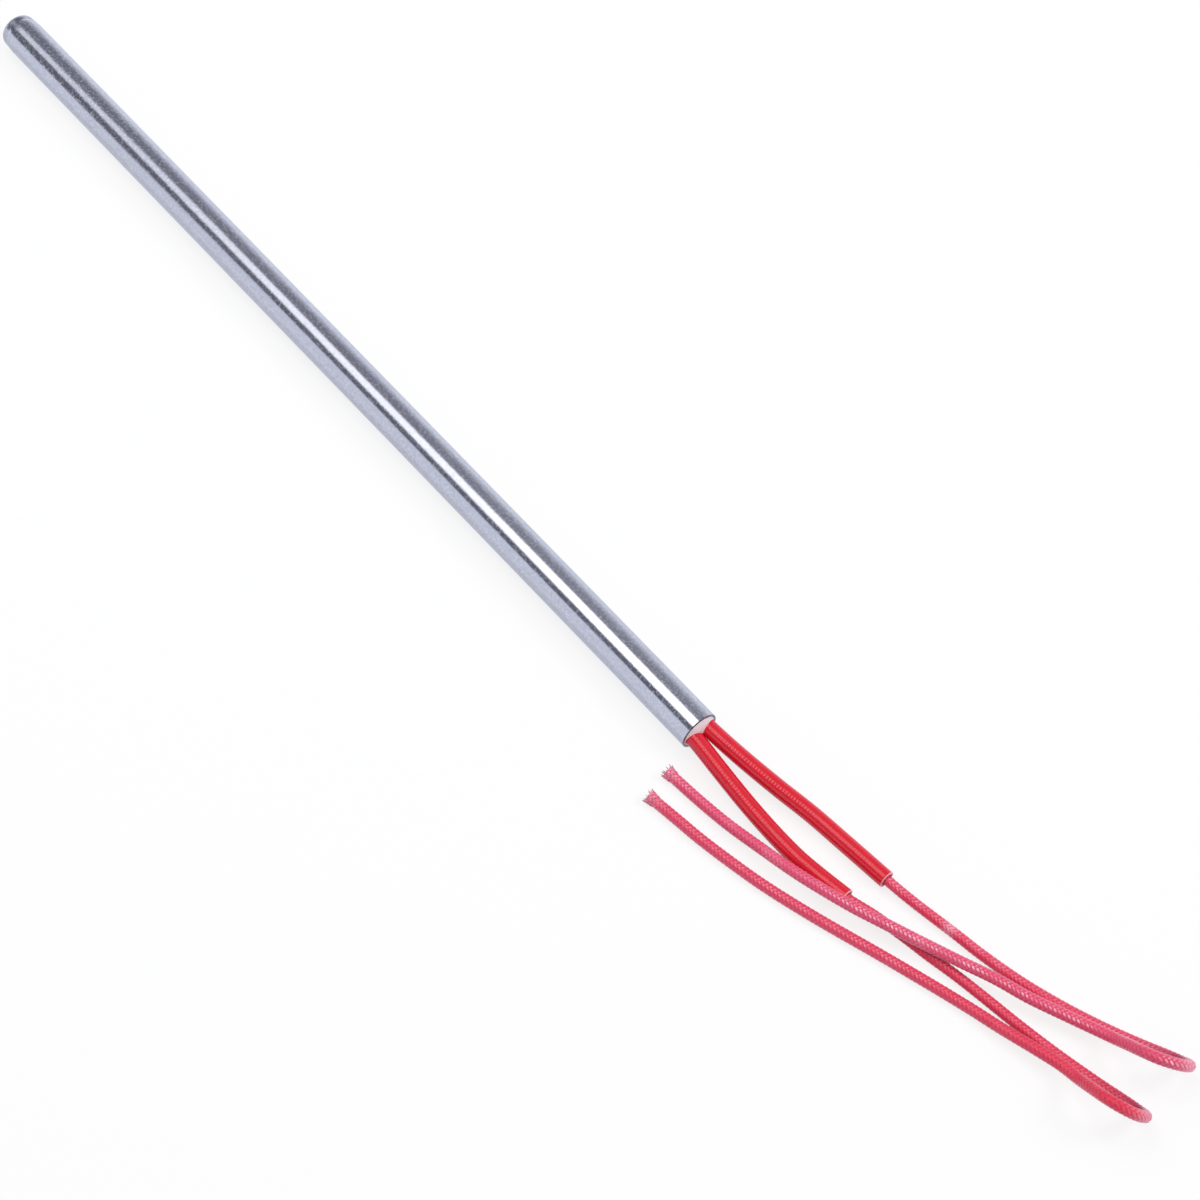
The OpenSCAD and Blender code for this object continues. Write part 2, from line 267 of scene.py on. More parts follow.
# %% Braided leads
def braided_lead(name, route, paleness, worn_spots):
    line, along = smooth_line(route, LEAD_STEP * MM)
    side, across = carried_frame(line)
    turn = np.arange(LEAD_SIDES) / LEAD_SIDES
    s = along / MM
    fold, end = s[np.argmax(line[:, 0])], s[-1]
    fold_centre = line[np.abs(s - fold) < FOLD_MM].mean(axis=0)
    by_fold = hump(s, fold, FOLD_MM)
    slack = np.interp(s, [0, TIGHT_TO, SLACK_FROM, fold, end], LEAD_RADII)
    core = slack * (1 + CUP_FLARE * ramp(s, end - CUP_MM, end) ** 2)
    age_at = [AGE_INSET, fold - BEFORE_FOLD, fold + PAST_FOLD, end - AGE_INSET, end]
    age = np.interp(s, age_at, paleness)
    spots = [(fold + FOLD_WEAR_PAST, WEAR_WIDTH, FOLD_WEAR), (end, WEAR_WIDTH, END_WEAR)] + worn_spots
    worn = sum(depth * hump(s, place, width) for place, width, depth in spots)
    rings = []
    kept = {label: [] for label in CUT_FACE}
    for i, centre in enumerate(line):
        height = braid_relief(turn, s[i])
        radius = (core[i] + CROWN_MM * height) * MM
        ring = ring_points(centre, side[i], across[i], radius)
        outward = (ring - centre) / radius[:, None]
        inward = (fold_centre - centre) / np.linalg.norm(fold_centre - centre)
        rings.append(ring)
        kept["relief"].append(height)
        kept["wear"].append(np.full(LEAD_SIDES, min(worn[i], 1.0)))
        kept["age"].append(np.full(LEAD_SIDES, age[i]))
        # painted highlight on the crowns of the upper side
        kept["glint"].append(age[i] * ramp(outward @ GLINT_SIDE, GLINT_FROM, GLINT_FULL))
        # painted shade on the side that faces into the fold
        kept["crease_shade"].append(by_fold[i] * ramp(outward @ inward, CREASE_FROM, CREASE_FULL))
    for back, share in CUT_RINGS:
        radius = np.full(LEAD_SIDES, slack[-1] * share * MM)
        rings.append(ring_points(line[-1 - back], side[-1], across[-1], radius))
        for label, value in CUT_FACE.items():
            kept[label].append(np.full(LEAD_SIDES, value))
    piece = piece_from_rings(name, rings, tube_faces(len(rings), LEAD_SIDES, close=False))
    for label, values in kept.items():
        keep_on_mesh(piece, label, values)
    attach(piece, "root")
    print(name, "length in mm:", round(end, 1), "faces:", len(piece.data.polygons))
    return piece, line, along[-1]


PALENESS_A, PALENESS_B = (0.4, 0.45, 0.7, 0.9, 0.9), (0.3, 0.3, 0.05, 0.45, 0.5)
WORN_SPOTS_A = [(77.3, 1.6, 0.9)]
lead_a, line_a, length_a = braided_lead("braided_lead_a", route_a, PALENESS_A, WORN_SPOTS_A)
lead_b, line_b, length_b = braided_lead("braided_lead_b", route_b, PALENESS_B, [])
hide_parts("lead_a")
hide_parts("lead_b")

# %% [markdown]
# The sleeves are glass sleeving with a glossy red coat. The coat fills the weave, so only fine ribs are
# left, just enough to break the highlight into a row of beads. A sleeve is a closed shell: out along the
# outside, over the cut edge and back along the bore.

# %% Red sleeves
SLEEVE_R = 2.12
SLEEVE_WALL = 0.45
SLEEVE_SIDES = 48
SLEEVE_STEP = 0.1
RIB_PITCH = 0.8
RIB_MM = 0.027
RIB_LEAN = 0.1
EDGE_RINGS = 3
EDGE_DROP, EDGE_ROUND = 0.05, 0.15
BORE_SKIP = 20


def coated_sleeve(name, route):
    line, along = smooth_line(route, SLEEVE_STEP * MM)
    side, across = carried_frame(line)
    turn = 2 * math.pi * np.arange(SLEEVE_SIDES) / SLEEVE_SIDES
    level = np.ones(SLEEVE_SIDES)
    last = len(line) - 1
    rings, cut = [], []

    def add(i, radius, edge):
        rings.append(ring_points(line[i], side[i], across[i], radius * MM))
        cut.append(edge * level)

    for i, s in enumerate(along / MM):
        rib = 0.5 + 0.5 * np.cos(2 * math.pi * (s / RIB_PITCH + RIB_LEAN * np.cos(turn)))
        edge = 1.0 if last - i < EDGE_RINGS else 0.0
        add(i, SLEEVE_R - RIB_MM + RIB_MM * rib - EDGE_DROP * edge, edge)
    add(last, (SLEEVE_R - EDGE_ROUND) * level, 1.0)
    for i in [*range(last, -1, -BORE_SKIP), 0]:
        add(i, (SLEEVE_R - SLEEVE_WALL) * level, 0.0)
    piece = piece_from_rings(name, rings, tube_faces(len(rings), SLEEVE_SIDES, close=True))
    keep_on_mesh(piece, "cut_edge", cut)
    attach(piece, "root")
    print(name, "length in mm:", round(along[-1] / MM, 1), "faces:", len(piece.data.polygons))
    return piece


sleeve_a = coated_sleeve("red_sleeve_a", sleeved_a)
sleeve_b = coated_sleeve("red_sleeve_b", sleeved_b)
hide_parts("sleeve_a")
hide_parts("sleeve_b")

# %% [markdown]
# Where the braid was cut, its yarns spread and a few stick out. Each loose end is a short tapered tube on
# a bent line. The random numbers are seeded, so every run gives the same tuft.

# %% Frayed ends
FRAY_YARNS = 26
FRAY_SIDES = 5
FRAY_STEPS = 6
FRAY_R = 1.32
FRAY_ROOT = 1.6
FRAY_TAPER = 0.65
FRAY_DARK = 0.35
FRAY_SHIFT, FRAY_REACH = (-0.4, 0.4), (0.1, 0.9)
FRAY_LEAN, FRAY_THICK = (0.1, 0.55), (0.16, 0.27)
SEED = 7
draw = np.random.default_rng(SEED)


def frayed_end(name, line):
    heading = line[-1] - line[-6]
    heading = heading / np.linalg.norm(heading)
    across = np.cross(heading, UP)
    rings, faces, dark = [], [], []
    for i in range(FRAY_YARNS):
        angle = 2 * math.pi * (i + draw.uniform(*FRAY_SHIFT)) / FRAY_YARNS
        out = math.cos(angle) * UP + math.sin(angle) * across
        reach = draw.uniform(*FRAY_REACH)
        lean = draw.uniform(*FRAY_LEAN)
        thick = draw.uniform(*FRAY_THICK)
        shade = 1.0 if draw.uniform() < FRAY_DARK else 0.0
        faces += tube_faces(FRAY_STEPS, FRAY_SIDES, close=False, base=len(rings) * FRAY_SIDES)
        for k in range(FRAY_STEPS):
            f = k / (FRAY_STEPS - 1)
            past_cut = reach * f - FRAY_ROOT * (1 - f)
            centre = line[-1] + (heading * past_cut + out * (FRAY_R + lean * f * f)) * MM
            radius = np.full(FRAY_SIDES, thick * (1 - FRAY_TAPER * f) * MM)
            rings.append(ring_points(centre, out, np.cross(heading, out), radius))
            dark.append(np.full(FRAY_SIDES, shade * f))
    piece = piece_from_rings(name, rings, faces)
    keep_on_mesh(piece, "dark", dark)
    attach(piece, "root")
    print(name, "yarns:", FRAY_YARNS, "faces:", len(faces))
    return piece


fray_a = frayed_end("frayed_end_a", line_a)
fray_b = frayed_end("frayed_end_b", line_b)

# %% [markdown]
# Both leads can be seen from end to end, so their lengths are simply those of their lines.

for lead, line, length, y, parts in ((lead_a, line_a, length_a, EXIT_Y, [sleeve_a, fray_a]),
                                     (lead_b, line_b, length_b, -EXIT_Y, [sleeve_b, fray_b])):
    line[::10].tolist() + [line[-1].tolist()]
    print(lead.name, "declared as a cord of", round(length / MM), "mm")

# %% [markdown]
# The barrel is a drawn tube with a ground outside. On a lathe it would be one profile turned about the
# axis. Here it grows the same way: a circle of edges is extruded along the axis and scaled at each
# station, out along the outside, over the rounded rim and back along the bore to where it began.

# %% Turning a profile
TURN_STEPS = 160
SAME_POINT_MM = 0.001
SHARP_DEG = 35


def turned_piece(name, stations, closed_ring):
    """Extrudes a circle through stations of (x, radius) in mm. A piece that is no ring gets two poles."""
    x, r = stations[0]
    bpy.ops.object.select_all(action="DESELECT")
    bpy.ops.mesh.primitive_circle_add(vertices=TURN_STEPS, radius=r * MM, fill_type="NOTHING",
                                      location=Vector((x, 0, AXIS_Z)) * MM, rotation=(0, math.pi / 2, 0))
    piece = bpy.context.object
    piece.name = name
    piece.data.name = name
    bpy.ops.object.transform_apply(location=True, rotation=True, scale=True)
    bpy.ops.object.mode_set(mode="EDIT")
    bpy.ops.mesh.select_all(action="SELECT")
    for next_x, next_r in stations[1:]:
        bpy.ops.mesh.extrude_edges_move(TRANSFORM_OT_translate={"value": ((next_x - x) * MM, 0, 0)})
        grow = next_r / r
        bpy.ops.transform.resize(value=(1, grow, grow), center_override=(0, 0, AXIS_Z * MM))
        x, r = next_x, next_r
    if not closed_ring:
        bpy.ops.mesh.merge(type="CENTER")
        bpy.ops.mesh.select_all(action="DESELECT")
        bpy.ops.mesh.select_non_manifold(extend=False)
        bpy.ops.mesh.merge(type="CENTER")
    bpy.ops.mesh.select_all(action="SELECT")
    bpy.ops.mesh.remove_doubles(threshold=SAME_POINT_MM * MM)
    bpy.ops.mesh.normals_make_consistent(inside=False)
    bpy.ops.object.mode_set(mode="OBJECT")
    bpy.ops.object.shade_smooth_by_angle(angle=math.radians(SHARP_DEG))
    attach(piece, "root")
    print(name, "faces:", len(piece.data.polygons))
    return piece


def rounded(x, r, radius, first, last, steps):
    """Stations round a corner whose centre is at (x, r), from one angle to another."""
    angles = np.radians(np.linspace(first, last, steps))
    return [(x + radius * math.cos(a), r + radius * math.sin(a)) for a in angles]


print("sides of a turned piece:", TURN_STEPS)

# %% [markdown]
# The tube's blunt end is closed by a welded disc, ground over with a rounded edge, and the tube is drawn
# in a little towards it. The weld shows only as a fine line, so barrel and nose stay two pieces with a
# shallow groove between them. At the other end the rim is rounded outside and broken inside, as after
# deburring.

# %% Barrel
SEAM_X, RIM_X = -132.4, LEAD_FACE
BARREL_R, NOSE_R, BORE_R = 5, 4.8, 4.5
DRAWN_IN = [(-131.2, 4.9), (-129.9, 4.99), (-129.3, BARREL_R)]
GROOVE_HALF, GROOVE_LIP, GROOVE_DEPTH = 0.01, 0.04, 0.02
RIM_ROUND, RIM_BREAK, MOUTH_MM = 0.2, 0.08, 3

groove_r = NOSE_R - GROOVE_DEPTH
barrel_stations = [(SEAM_X + GROOVE_HALF, groove_r), (SEAM_X + GROOVE_LIP, NOSE_R)]
barrel_stations += DRAWN_IN + [(0, BARREL_R)]
barrel_stations += rounded(RIM_X - RIM_ROUND, BARREL_R - RIM_ROUND, RIM_ROUND, 90, 0, 6)
barrel_stations += rounded(RIM_X - RIM_BREAK, BORE_R + RIM_BREAK, RIM_BREAK, 0, -90, 4)
barrel_stations += [(RIM_X - MOUTH_MM, BORE_R), (SEAM_X + GROOVE_HALF, BORE_R), barrel_stations[0]]
barrel = turned_piece("barrel", barrel_stations, closed_ring=True)
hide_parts("sheath")

# %% [markdown]
# The nose is turned in the same way, from the spigot that fills the tube's end to the flat of the nose.
# It starts and ends in a small circle, and each of these is merged to a pole.

# %% Nose
NOSE_X = -135
NOSE_ROUND, NOSE_DRAFT = 1.8, 0.07
SPIGOT_MM, SPIGOT_R = 1.5, BORE_R - 0.02

cap_stations = [(SEAM_X + SPIGOT_MM, 1), (SEAM_X + SPIGOT_MM, SPIGOT_R), (SEAM_X - GROOVE_HALF, SPIGOT_R),
                (SEAM_X - GROOVE_HALF, groove_r), (SEAM_X - GROOVE_LIP, NOSE_R)]
cap_stations += rounded(NOSE_X + NOSE_ROUND, NOSE_R - NOSE_ROUND - NOSE_DRAFT, NOSE_ROUND, 86, 180, 12)
cap_stations += [(NOSE_X, 1.5), (NOSE_X, 0.5)]
nose_cap = turned_piece("nose_cap", cap_stations, closed_ring=False)
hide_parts("end_cap")

# %% [markdown]
# Materials are node trees. Written as Python sums they stay short: a Wire is one output socket, and
# adding or multiplying wires adds the Math nodes. Every other node comes from the node method.

# %% A wire for shader maths
class Wire:
    """One output socket of a node tree."""

    def __init__(self, tree, socket=None):
        self.tree = tree
        self.socket = socket

    def node(self, kind, settings=None, sockets=None, out=0):
        """Adds a node: its settings first, then the values or wires of its sockets."""
        added = self.tree.nodes.new(kind)
        for key, value in (settings or {}).items():
            setattr(added, key, value)
        self.feed(added, sockets or {})
        return Wire(self.tree, added.outputs[out])

    def feed(self, node, sockets):
        """Gives a node's sockets, by name or number, their values or wires."""
        for key, value in sockets.items():
            if isinstance(value, Wire):
                self.tree.links.new(value.socket, node.inputs[key])
            else:
                node.inputs[key].default_value = value

    def maths(self, operation, *values):
        return self.node("ShaderNodeMath", {"operation": operation}, dict(enumerate(values)))

    def __add__(self, other):
        return self.maths("ADD", self, other)

    __radd__ = __add__

    def __sub__(self, other):
        return self.maths("SUBTRACT", self, other)

    def __rsub__(self, other):
        return self.maths("SUBTRACT", other, self)

    def __mul__(self, other):
        return self.maths("MULTIPLY", self, other)

    __rmul__ = __mul__

    def between(self, low, high):
        """0 below low, 1 above high, and smooth between them."""
        return self.node("ShaderNodeMapRange", {"interpolation_type": "SMOOTHSTEP"},
                         {"Value": self, "From Min": low, "From Max": high})

    def blend(self, first, second):
        """Colour that goes from first to second as this wire goes from 0 to 1."""
        return self.node("ShaderNodeMix", {"data_type": "RGBA"}, {0: self, 6: first, 7: second}, out=2)

    def noise(self, scale, detail=2.0, stretch=(1, 1, 1)):
        """Noise on the piece's own coordinates, with so many grains to the metre on each axis."""
        place = self.node("ShaderNodeTexCoord", out="Object")
        place = self.node("ShaderNodeMapping", None, {"Vector": place, "Scale": stretch})
        return self.node("ShaderNodeTexNoise", None, {"Vector": place, "Scale": scale, "Detail": detail})

    def axis(self, name, kind="Object"):
        """One axis of a texture coordinate."""
        place = self.node("ShaderNodeTexCoord", out=kind)
        return self.node("ShaderNodeSeparateXYZ", None, {0: place}, out=name)

    def ray(self, kind):
        """1 for rays of one kind, such as Is Camera Ray, and 0 for all others."""
        return self.node("ShaderNodeLightPath", out=kind)

    def kept(self, name):
        """A number that is kept on the mesh."""
        return self.node("ShaderNodeAttribute", {"attribute_name": name}, out="Fac")


print("operators of a wire:", [name for name in vars(Wire) if name.startswith("__r")])

# %% [markdown]
# Three small helpers do what every finish needs: start a material, turn a height into a bumped normal,
# and give a piece its material.

# %% Helpers for finishes
def start_finish(name, roughness, metallic=0.0):
    """A new material, its shader and a wire to build on."""
    material = bpy.data.materials.new(name)
    material.use_nodes = True
    shader = material.node_tree.nodes["Principled BSDF"]
    wire = Wire(material.node_tree)
    wire.feed(shader, {"Roughness": roughness, "Metallic": metallic})
    return material, shader, wire


def relief_normal(wire, shader, height, distance, strength):
    """Bump from a height wire."""
    bump = wire.node("ShaderNodeBump", None, {"Strength": strength, "Distance": distance, "Height": height})
    wire.feed(shader, {"Normal": bump})


def dress(piece, material, slot):
    """Gives a piece one material. The slot argument is not used."""
    piece.data.materials.clear()
    piece.data.materials.append(material)
    print(piece.name, "is dressed in", material.name)


print("helpers for a finish:", start_finish.__name__, relief_normal.__name__, dress.__name__)

# %% [markdown]
# The barrel is centreless ground: fine rings round the tube, grey specks where oxide stayed in the
# surface, and small matt pits. Noise that is squeezed along the axis gives the rings. A pit is less of a
# metal and scatters light, so it shows in the dark stripes and hardly in the bright ones, as on the real
# tube. A thin dark line is painted at the rim as painted shade, where the rim's edge falls in shadow.

# %% Ground steel
STEEL = (0.46, 0.465, 0.5, 1)
STEEL_NOSE = (0.4, 0.405, 0.44, 1)
STEEL_DULL = (0.36, 0.365, 0.4, 1)
# Painted shade: a thin dark line at the rim's edge.
RIM_SHADE = (0.03, 0.03, 0.045, 1)
RIM_SHADE_SPAN = (RIM_X - 0.3) * MM, (RIM_X - 0.15) * MM
PIT_PALE = (0.72, 0.725, 0.75, 1)
PIT_LOSS = 0.21
RING_GRAIN = (5200, 90, 90)
SPECK_GRAIN = (2600, 900, 900)
FLECK_GRAIN = (1500, 1100, 1100)
PIT_GRAIN = (2050, 1800, 1800)


def ground_steel(name, roughness, tint):
    material, shader, wire = start_finish(name, roughness, metallic=1.0)
    # where the painted shade at the rim lies
    rim = wire.axis("X").between(*RIM_SHADE_SPAN)
    rings = wire.noise(1.0, 2.0, RING_GRAIN)
    cloud = wire.noise(160, 3.0)
    speck = wire.noise(1.0, 1.0, SPECK_GRAIN).between(0.66, 0.74)
    fleck = wire.noise(1.0, 3.0, FLECK_GRAIN)
    pit = wire.noise(1.0, 2.0, PIT_GRAIN).between(0.48, 0.66)
    dull = speck * 0.4 + (1 - cloud) * 0.12 + fleck.between(0.42, 0.68) * 0.3
    metal = (pit * 0.42).blend(dull.blend(tint, STEEL_DULL), PIT_PALE)
    wire.feed(shader, {
        "Base Color": (rim * 0.7).blend(metal, RIM_SHADE),
        "Roughness": roughness + rings * 0.06 + cloud * 0.05 + speck * 0.1 + pit * 0.12,
        "Metallic": 1 - pit * PIT_LOSS,
    })
    relief_normal(wire, shader, rings * 0.4 + fleck + speck * -0.4, 0.017 * MM, 0.6)
    return material


dress(barrel, ground_steel("ground_steel", 0.06, STEEL), "sheath_steel")
dress(nose_cap, ground_steel("welded_steel", 0.12, STEEL_NOSE), "cap_steel")

# %% [markdown]
# The sleeve's coat is a clear, deep red with a wet gloss; the cut edge shows the pale glass below it. Low
# roughness and a little specular give the gloss, and the edge is found by the number that the sleeve's
# mesh keeps.

# %% Red coat
RED_DEEP, RED_LIGHT = (0.66, 0.01, 0.028, 1), (0.78, 0.02, 0.036, 1)
PALE_GLASS = (0.85, 0.5, 0.52, 1)
COAT_ROUGHNESS = 0.09

red_coat, shader, wire = start_finish("red_coat", COAT_ROUGHNESS)
red = wire.noise(420, 3.0).blend(RED_DEEP, RED_LIGHT)
wire.feed(shader, {
    "Base Color": (wire.kept("cut_edge") * 0.75).blend(red, PALE_GLASS),
    "Roughness": COAT_ROUGHNESS + wire.noise(900) * 0.03,
    "Specular IOR Level": 0.4,
})
relief_normal(wire, shader, wire.noise(2200), 0.004 * MM, 0.1)
for sleeve in (sleeve_a, sleeve_b):
    dress(sleeve, red_coat, "sleeve_red")

# %% [markdown]
# The braid is varnished pink, and pale where it was bent or worn. Its relief is painted into the colour:
# deep red in the gaps as painted shade and lighter on the crowns as painted light. Whitish dashes on the
# upper crowns are a painted highlight, and the inner side of a fold is painted dark as painted shade.
# Broken glass filaments stand off the braid as a fine fuzz, which the eye sees as a paler outline.
# Modelled hairs would be far below a pixel; the shader's sheen is made for just this.

# %% Pink braid
GAP_NEW, GAP_FADED = (0.62, 0.014, 0.045, 1), (0.66, 0.045, 0.12, 1)
CROWN_NEW, CROWN_FADED = (0.84, 0.045, 0.09, 1), (0.88, 0.125, 0.25, 1)
# The first colour is real wear; the second is the painted highlight of the upper crowns.
SCUFFED, PAINTED_GLINT = (0.92, 0.42, 0.54, 1), (0.98, 0.76, 0.84, 1)
# Painted shade for the inner side of a fold.
PAINTED_CREASE_SHADE = (0.16, 0.014, 0.05, 1)
BRAID_ROUGHNESS = 0.22

pink_braid, shader, wire = start_finish("pink_braid", BRAID_ROUGHNESS)
height, age = wire.kept("relief"), wire.kept("age")
mottle = wire.noise(160, 4.0)
lint = wire.noise(360, 3.0).between(0.42, 0.6)
# The gaps are painted darker and the crowns lighter: painted shade and light on the braid's relief.
gap = age.blend(GAP_NEW, GAP_FADED)
crown = age.blend(CROWN_NEW, CROWN_FADED)
pink = (height.between(0.1, 0.9) * 0.7 + mottle * 0.3).blend(gap, crown)
scuff = (wire.kept("wear") * 0.85 + mottle.between(0.55, 0.7) * age * 0.2) * height.between(0.1, 0.8)
# Painted highlight: whitish dashes on the upper crowns.
glint_mask = wire.kept("glint") * height.between(0.55, 0.9) * (0.3 + lint * 0.7)
braid = glint_mask.blend(scuff.blend(pink, SCUFFED), PAINTED_GLINT)
wire.feed(shader, {
    # Painted shade darkens the inner side of a fold.
    "Base Color": (wire.kept("crease_shade") * 0.8).blend(braid, PAINTED_CREASE_SHADE),
    "Roughness": BRAID_ROUGHNESS + wire.noise(1300) * 0.2,
    "Specular IOR Level": 0.35,
    "Sheen Weight": 0.7,
    "Sheen Roughness": 0.4,
    "Sheen Tint": (1, 0.8, 0.9, 1),
})
relief_normal(wire, shader, wire.noise(5200), 0.01 * MM, 0.25)
for lead in (lead_a, lead_b):
    dress(lead, pink_braid, "braid_pink")

# %% [markdown]
# At the cut end the yarns have lost their varnish: they are paler and matt, and a few tips are dark. The
# noise mixes two pinks along each yarn, and the number kept on the mesh finds the dark tips.

# %% Loose yarns
YARN_DEEP, YARN_PALE = (0.55, 0.06, 0.13, 1), (0.84, 0.32, 0.44, 1)
DARK_TIP = (0.16, 0.08, 0.1, 1)

loose_yarn, shader, wire = start_finish("loose_yarn", 0.6)
tone = wire.noise(900).blend(YARN_DEEP, YARN_PALE)
wire.feed(shader, {"Base Color": (wire.kept("dark") * 0.7).blend(tone, DARK_TIP)})
relief_normal(wire, shader, wire.noise(6000), 0.02 * MM, 0.5)
for fray in (fray_a, fray_b):
    dress(fray, loose_yarn, "braid_pink")

# %% [markdown]
# What lies inside is seen only in a cutaway, but each CAD node still gets a finish of its own: fired
# ceramic, packed oxide, oxidised winding, drawn nickel, mica and the white cement that shows at the lead
# end.

# %% Minerals and drawn metal
DRAWN_GRAIN = (120, 5000, 5000)


def mineral(name, light, deep, roughness, grain):
    """A matt mineral with a mottled colour and a grainy surface."""
    material, shader, wire = start_finish(name, roughness)
    wire.feed(shader, {
        "Base Color": wire.noise(grain, 4.0).blend(deep, light),
        "Roughness": roughness + wire.noise(grain * 2) * 0.15,
    })
    relief_normal(wire, shader, wire.noise(grain * 4, 3.0), 0.05 * MM, 0.4)
    return material


def drawn_metal(name, light, deep, roughness):
    """Drawn wire or rod: streaks along the axis."""
    material, shader, wire = start_finish(name, roughness, metallic=1.0)
    streak = wire.noise(1.0, 2.0, DRAWN_GRAIN)
    wire.feed(shader, {
        "Base Color": streak.blend(deep, light),
        "Roughness": roughness + streak * 0.15,
    })
    relief_normal(wire, shader, streak, 0.004 * MM, 0.5)
    return material


print("helpers for the inside:", mineral.__name__, drawn_metal.__name__)

# %% [markdown]
# One finish serves all pieces of the same stuff. The table below goes from the record's slot to the
# finish and the nodes that take it, so that it reads like a bill of materials.

# %% CAD nodes that stay
ceramic = mineral("fired_ceramic", (0.92, 0.9, 0.84, 1), (0.84, 0.8, 0.72, 1), 0.55, 700)
oxide = mineral("packed_oxide", (0.88, 0.87, 0.83, 1), (0.72, 0.7, 0.66, 1), 0.8, 1500)
mica = mineral("mica_sheet", (0.82, 0.74, 0.52, 1), (0.62, 0.5, 0.3, 1), 0.3, 300)
cement = mineral("white_cement", (0.97, 0.93, 0.96, 1), (0.9, 0.82, 0.86, 1), 0.75, 1100)
winding = drawn_metal("oxidised_winding", (0.42, 0.38, 0.36, 1), (0.24, 0.2, 0.19, 1), 0.4)
nickel = drawn_metal("drawn_nickel", (0.72, 0.68, 0.62, 1), (0.58, 0.54, 0.48, 1), 0.25)

inner_finishes = {
    "core_ceramic": (ceramic, ["tip_spacer", "core_1", "core_2", "core_3", "core_4", "core_cold",
                               "lead_bush"]),
    "oxide": (oxide, ["oxide_fill"]),
    "mica": (mica, ["mica_washer"]),
    "cement": (cement, ["potting"]),
    "resistance_wire": (winding, ["resistance_coil"]),
    "nickel": (nickel, ["short_pin", "long_pin", "crimp_a", "crimp_b", "conductor_a", "conductor_b"]),
}
for slot, (material, names) in inner_finishes.items():
    for name in names:
        dress(nodes[name], material, slot)
print("CAD nodes dressed:", sum(len(names) for material, names in inner_finishes.values()))

# %% [markdown]
# The heater lies on a white sheet. A lit sheet would need so much light that the object washes out, so
# the table is seen at its own brightness by the camera and keeps part of the shadow. For glossy rays it
# glows a cool, slightly lavender painted reflection, painted darker close under the barrel as painted
# shade.

# %% Table
TABLE_SIZE = 8
TABLE_PALE = (0.9, 0.9, 0.91, 1)
SEEN_WHITE = (1.02, 1.02, 1.02, 1)
MIRRORED_NEAR, MIRRORED_FAR = (0.86, 0.89, 1.02, 1), (1.13, 1.18, 1.37, 1)
CAMERA_GLOW, GLOSSY_GLOW = 0.78, 0.85

bpy.ops.object.select_all(action="DESELECT")
bpy.ops.mesh.primitive_plane_add(size=TABLE_SIZE)
table = bpy.context.object
table.name = "table"
pale_table, shader, wire = start_finish("pale_table", 0.9)
wire.feed(shader, {"Base Color": TABLE_PALE, "Specular IOR Level": 0.0})
seen = wire.ray("Is Camera Ray")
# Painted reflection for the metal, with painted shade close under the barrel.
mirrored = wire.maths("ABSOLUTE", wire.axis("Y")).between(0.004, 0.03).blend(MIRRORED_NEAR, MIRRORED_FAR)
glow = wire.node("ShaderNodeEmission", None, {"Color": seen.blend(mirrored, SEEN_WHITE), "Strength": 1.0})
glow_share = seen * CAMERA_GLOW + wire.ray("Is Glossy Ray") * GLOSSY_GLOW
lit = Wire(pale_table.node_tree, shader.outputs[0])
look = wire.node("ShaderNodeMixShader", None, {0: glow_share, 1: lit, 2: glow})
wire.feed(pale_table.node_tree.nodes["Material Output"], {"Surface": look})
table.data.materials.append(pale_table)
print("table in metres:", [round(v, 1) for v in table.dimensions])

# %% [markdown]
# One large softbox over the table gives the soft light from above, and a second lamp on the lead side
# lights the cement and one flank of the leads. Both are out of the metal's sight, because a lamp's mirror
# image would be one flat patch of white; what the metal mirrors is painted in the next step.

# %% Softbox and side lamp
SOFTBOX_PLACE = (-0.22, -0.058, 0.9)
SOFTBOX_SIZE = (0.84, 0.716)
SOFTBOX_LEVEL = 2.3
SIDE_PLACE, SIDE_AIM = Vector((0.75, 0.7, 0.95)), Vector((0.15, 0, 0))
SIDE_SIZE = 0.5
SIDE_WATTS = 6.0

bpy.ops.object.light_add(type="AREA", location=SOFTBOX_PLACE)
softbox = bpy.context.object
softbox.data.shape = "RECTANGLE"
softbox.data.size, softbox.data.size_y = SOFTBOX_SIZE
softbox.data.energy = SOFTBOX_LEVEL * math.pi * SOFTBOX_SIZE[0] * SOFTBOX_SIZE[1]

bpy.ops.object.light_add(type="AREA", location=SIDE_PLACE)
side_lamp = bpy.context.object
side_lamp.rotation_euler = (SIDE_AIM - SIDE_PLACE).to_track_quat("-Z", "Y").to_euler()
side_lamp.data.size = SIDE_SIZE
side_lamp.data.energy = SIDE_WATTS
for lamp in (softbox, side_lamp):
    lamp.visible_glossy = False
    lamp.visible_camera = False
    print("lamp of", round(lamp.data.energy, 1), "watts at", [round(v, 2) for v in lamp.location])

# %% [markdown]
# Polished metal is mostly a picture of the room: a white stripe where the softbox hangs, a dark stripe on
# either side of it and pale walls below. The world paints this picture for glossy rays only. On a round
# bar a stripe's place depends on how far the ray leans from upright across the bar, and it changes slowly
# from the nose to the leads. For all other rays the world is an even fill.

# %% Where a mirrored ray goes
FAR_EDGE, FAR_SOFT = 14, 8
NEAR_EDGE, NEAR_SOFT = -52, 4
WHITE_FROM, WHITE_FULL = -31, -16

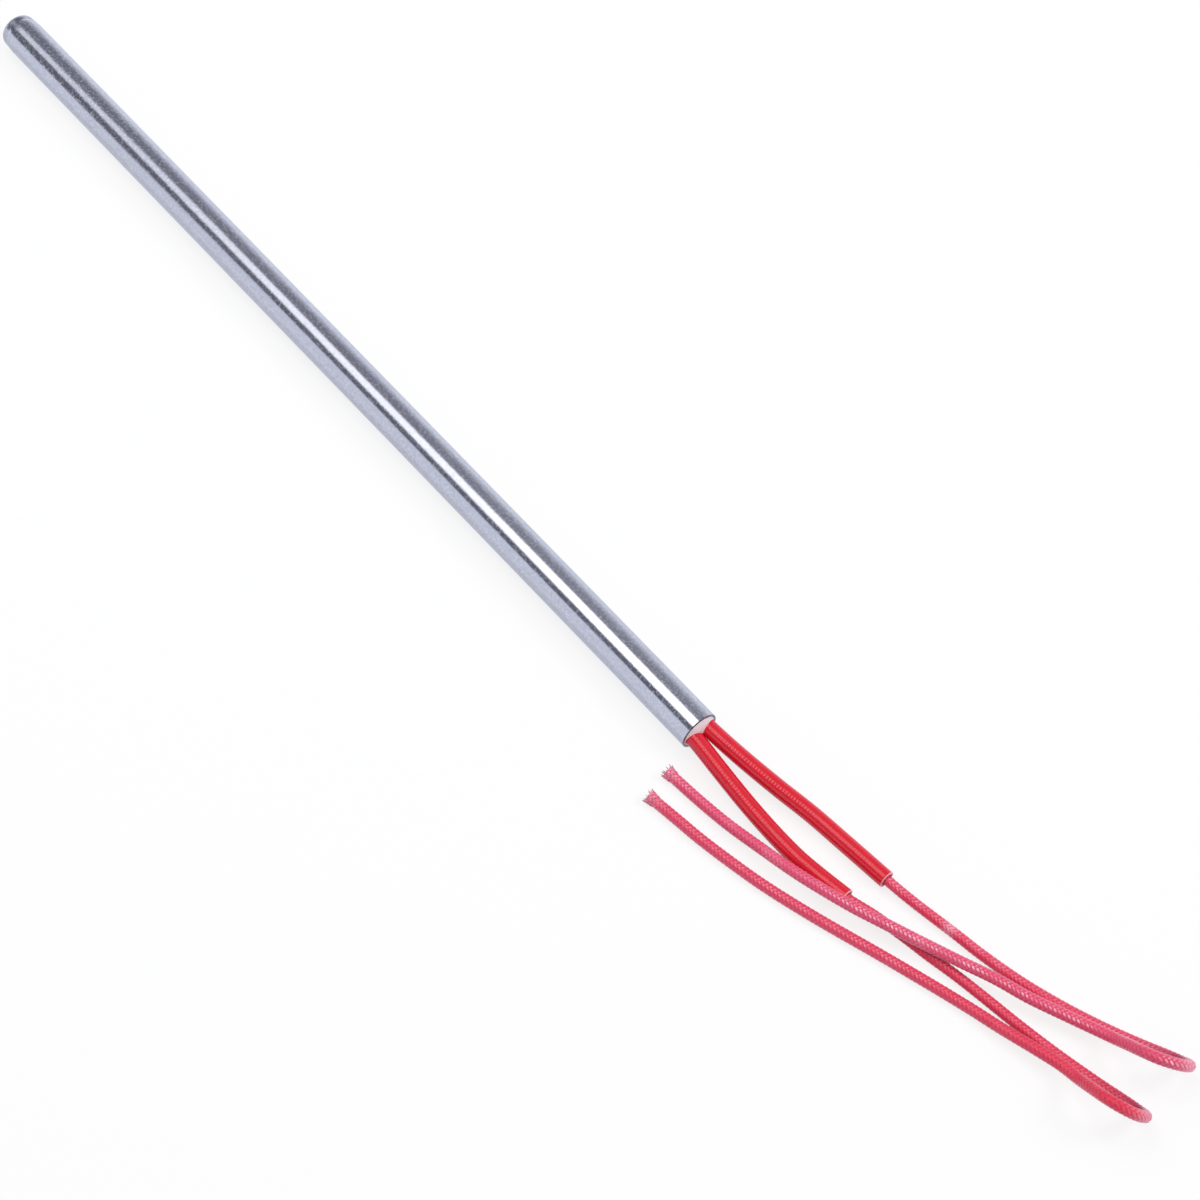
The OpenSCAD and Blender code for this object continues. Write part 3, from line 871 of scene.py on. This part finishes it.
room = bpy.data.worlds.new("room")
room.use_nodes = True
bpy.context.scene.world = room
wire = Wire(room.node_tree)
lean = wire.maths("ARCTAN2", wire.axis("Y", "Generated"), wire.axis("Z", "Generated")) * math.degrees(1)
past_nose = wire.axis("X", "Generated") * -1
by_nose = past_nose.between(0.53, 0.585)
by_leads = 1 - past_nose.between(0.34, 0.45)
far_edge = FAR_EDGE - by_nose * 9
near_edge = NEAR_EDGE - by_nose * 13 - by_leads * 3
beyond = lean.between(far_edge - FAR_SOFT, far_edge + FAR_SOFT)
overhead = lean.between(WHITE_FROM - by_leads * 4, WHITE_FULL - by_leads * 4)
in_front = lean.between(near_edge - NEAR_SOFT, near_edge + NEAR_SOFT)
print("nodes that find the stripes:", len(room.node_tree.nodes))

# %% [markdown]
# The stripes are now filled in. The white one is brightest towards the leads and fades past the nose, and
# the far dark one pales slowly into the wall.

# %% The room that the metal mirrors
WALL = (1.08, 1.13, 1.3, 1)
CEILING, CEILING_NOSE = (2.0, 2.04, 2.12, 1), (1.18, 1.21, 1.33, 1)
CEILING_PAST_NOSE = (0.4, 0.41, 0.48, 1)
CEILING_LEADS, CEILING_PAST_LEADS = (3.4, 3.4, 3.5, 1), (0.3, 0.3, 0.34, 1)
FAR_DARK, FAR_DARK_LEADS = (0.34, 0.35, 0.435, 1), (0.42, 0.43, 0.51, 1)
FAR_DARK_NOSE = (0.28, 0.29, 0.37, 1)
NEAR_DARK = (0.215, 0.22, 0.285, 1)
EVEN_FILL = (0.42, 0.42, 0.43, 1)
WHITE = (1, 1, 1, 1)

ceiling = past_nose.between(0.49, 0.555).blend(CEILING, CEILING_NOSE)
ceiling = past_nose.between(0.62, 0.74).blend(ceiling, CEILING_PAST_NOSE)
ceiling = past_nose.between(0.26, 0.36).blend(CEILING_LEADS, ceiling)
ceiling = past_nose.between(-0.12, 0.14).blend(CEILING_PAST_LEADS, ceiling)
far_dark = by_nose.blend(by_leads.blend(FAR_DARK, FAR_DARK_LEADS), FAR_DARK_NOSE)
picture = (overhead * (1 - beyond)).blend(WALL, ceiling)
picture = (beyond * (1 - lean.between(44, 102))).blend(picture, far_dark)
picture = ((1 - overhead) * in_front).blend(picture, NEAR_DARK)
colour = wire.ray("Is Glossy Ray").blend(EVEN_FILL, picture)
colour = wire.ray("Is Camera Ray").blend(colour, WHITE)
wire.feed(room.node_tree.nodes["Background"], {"Color": colour})
print("nodes in the room's picture:", len(room.node_tree.nodes))

# %% [markdown]
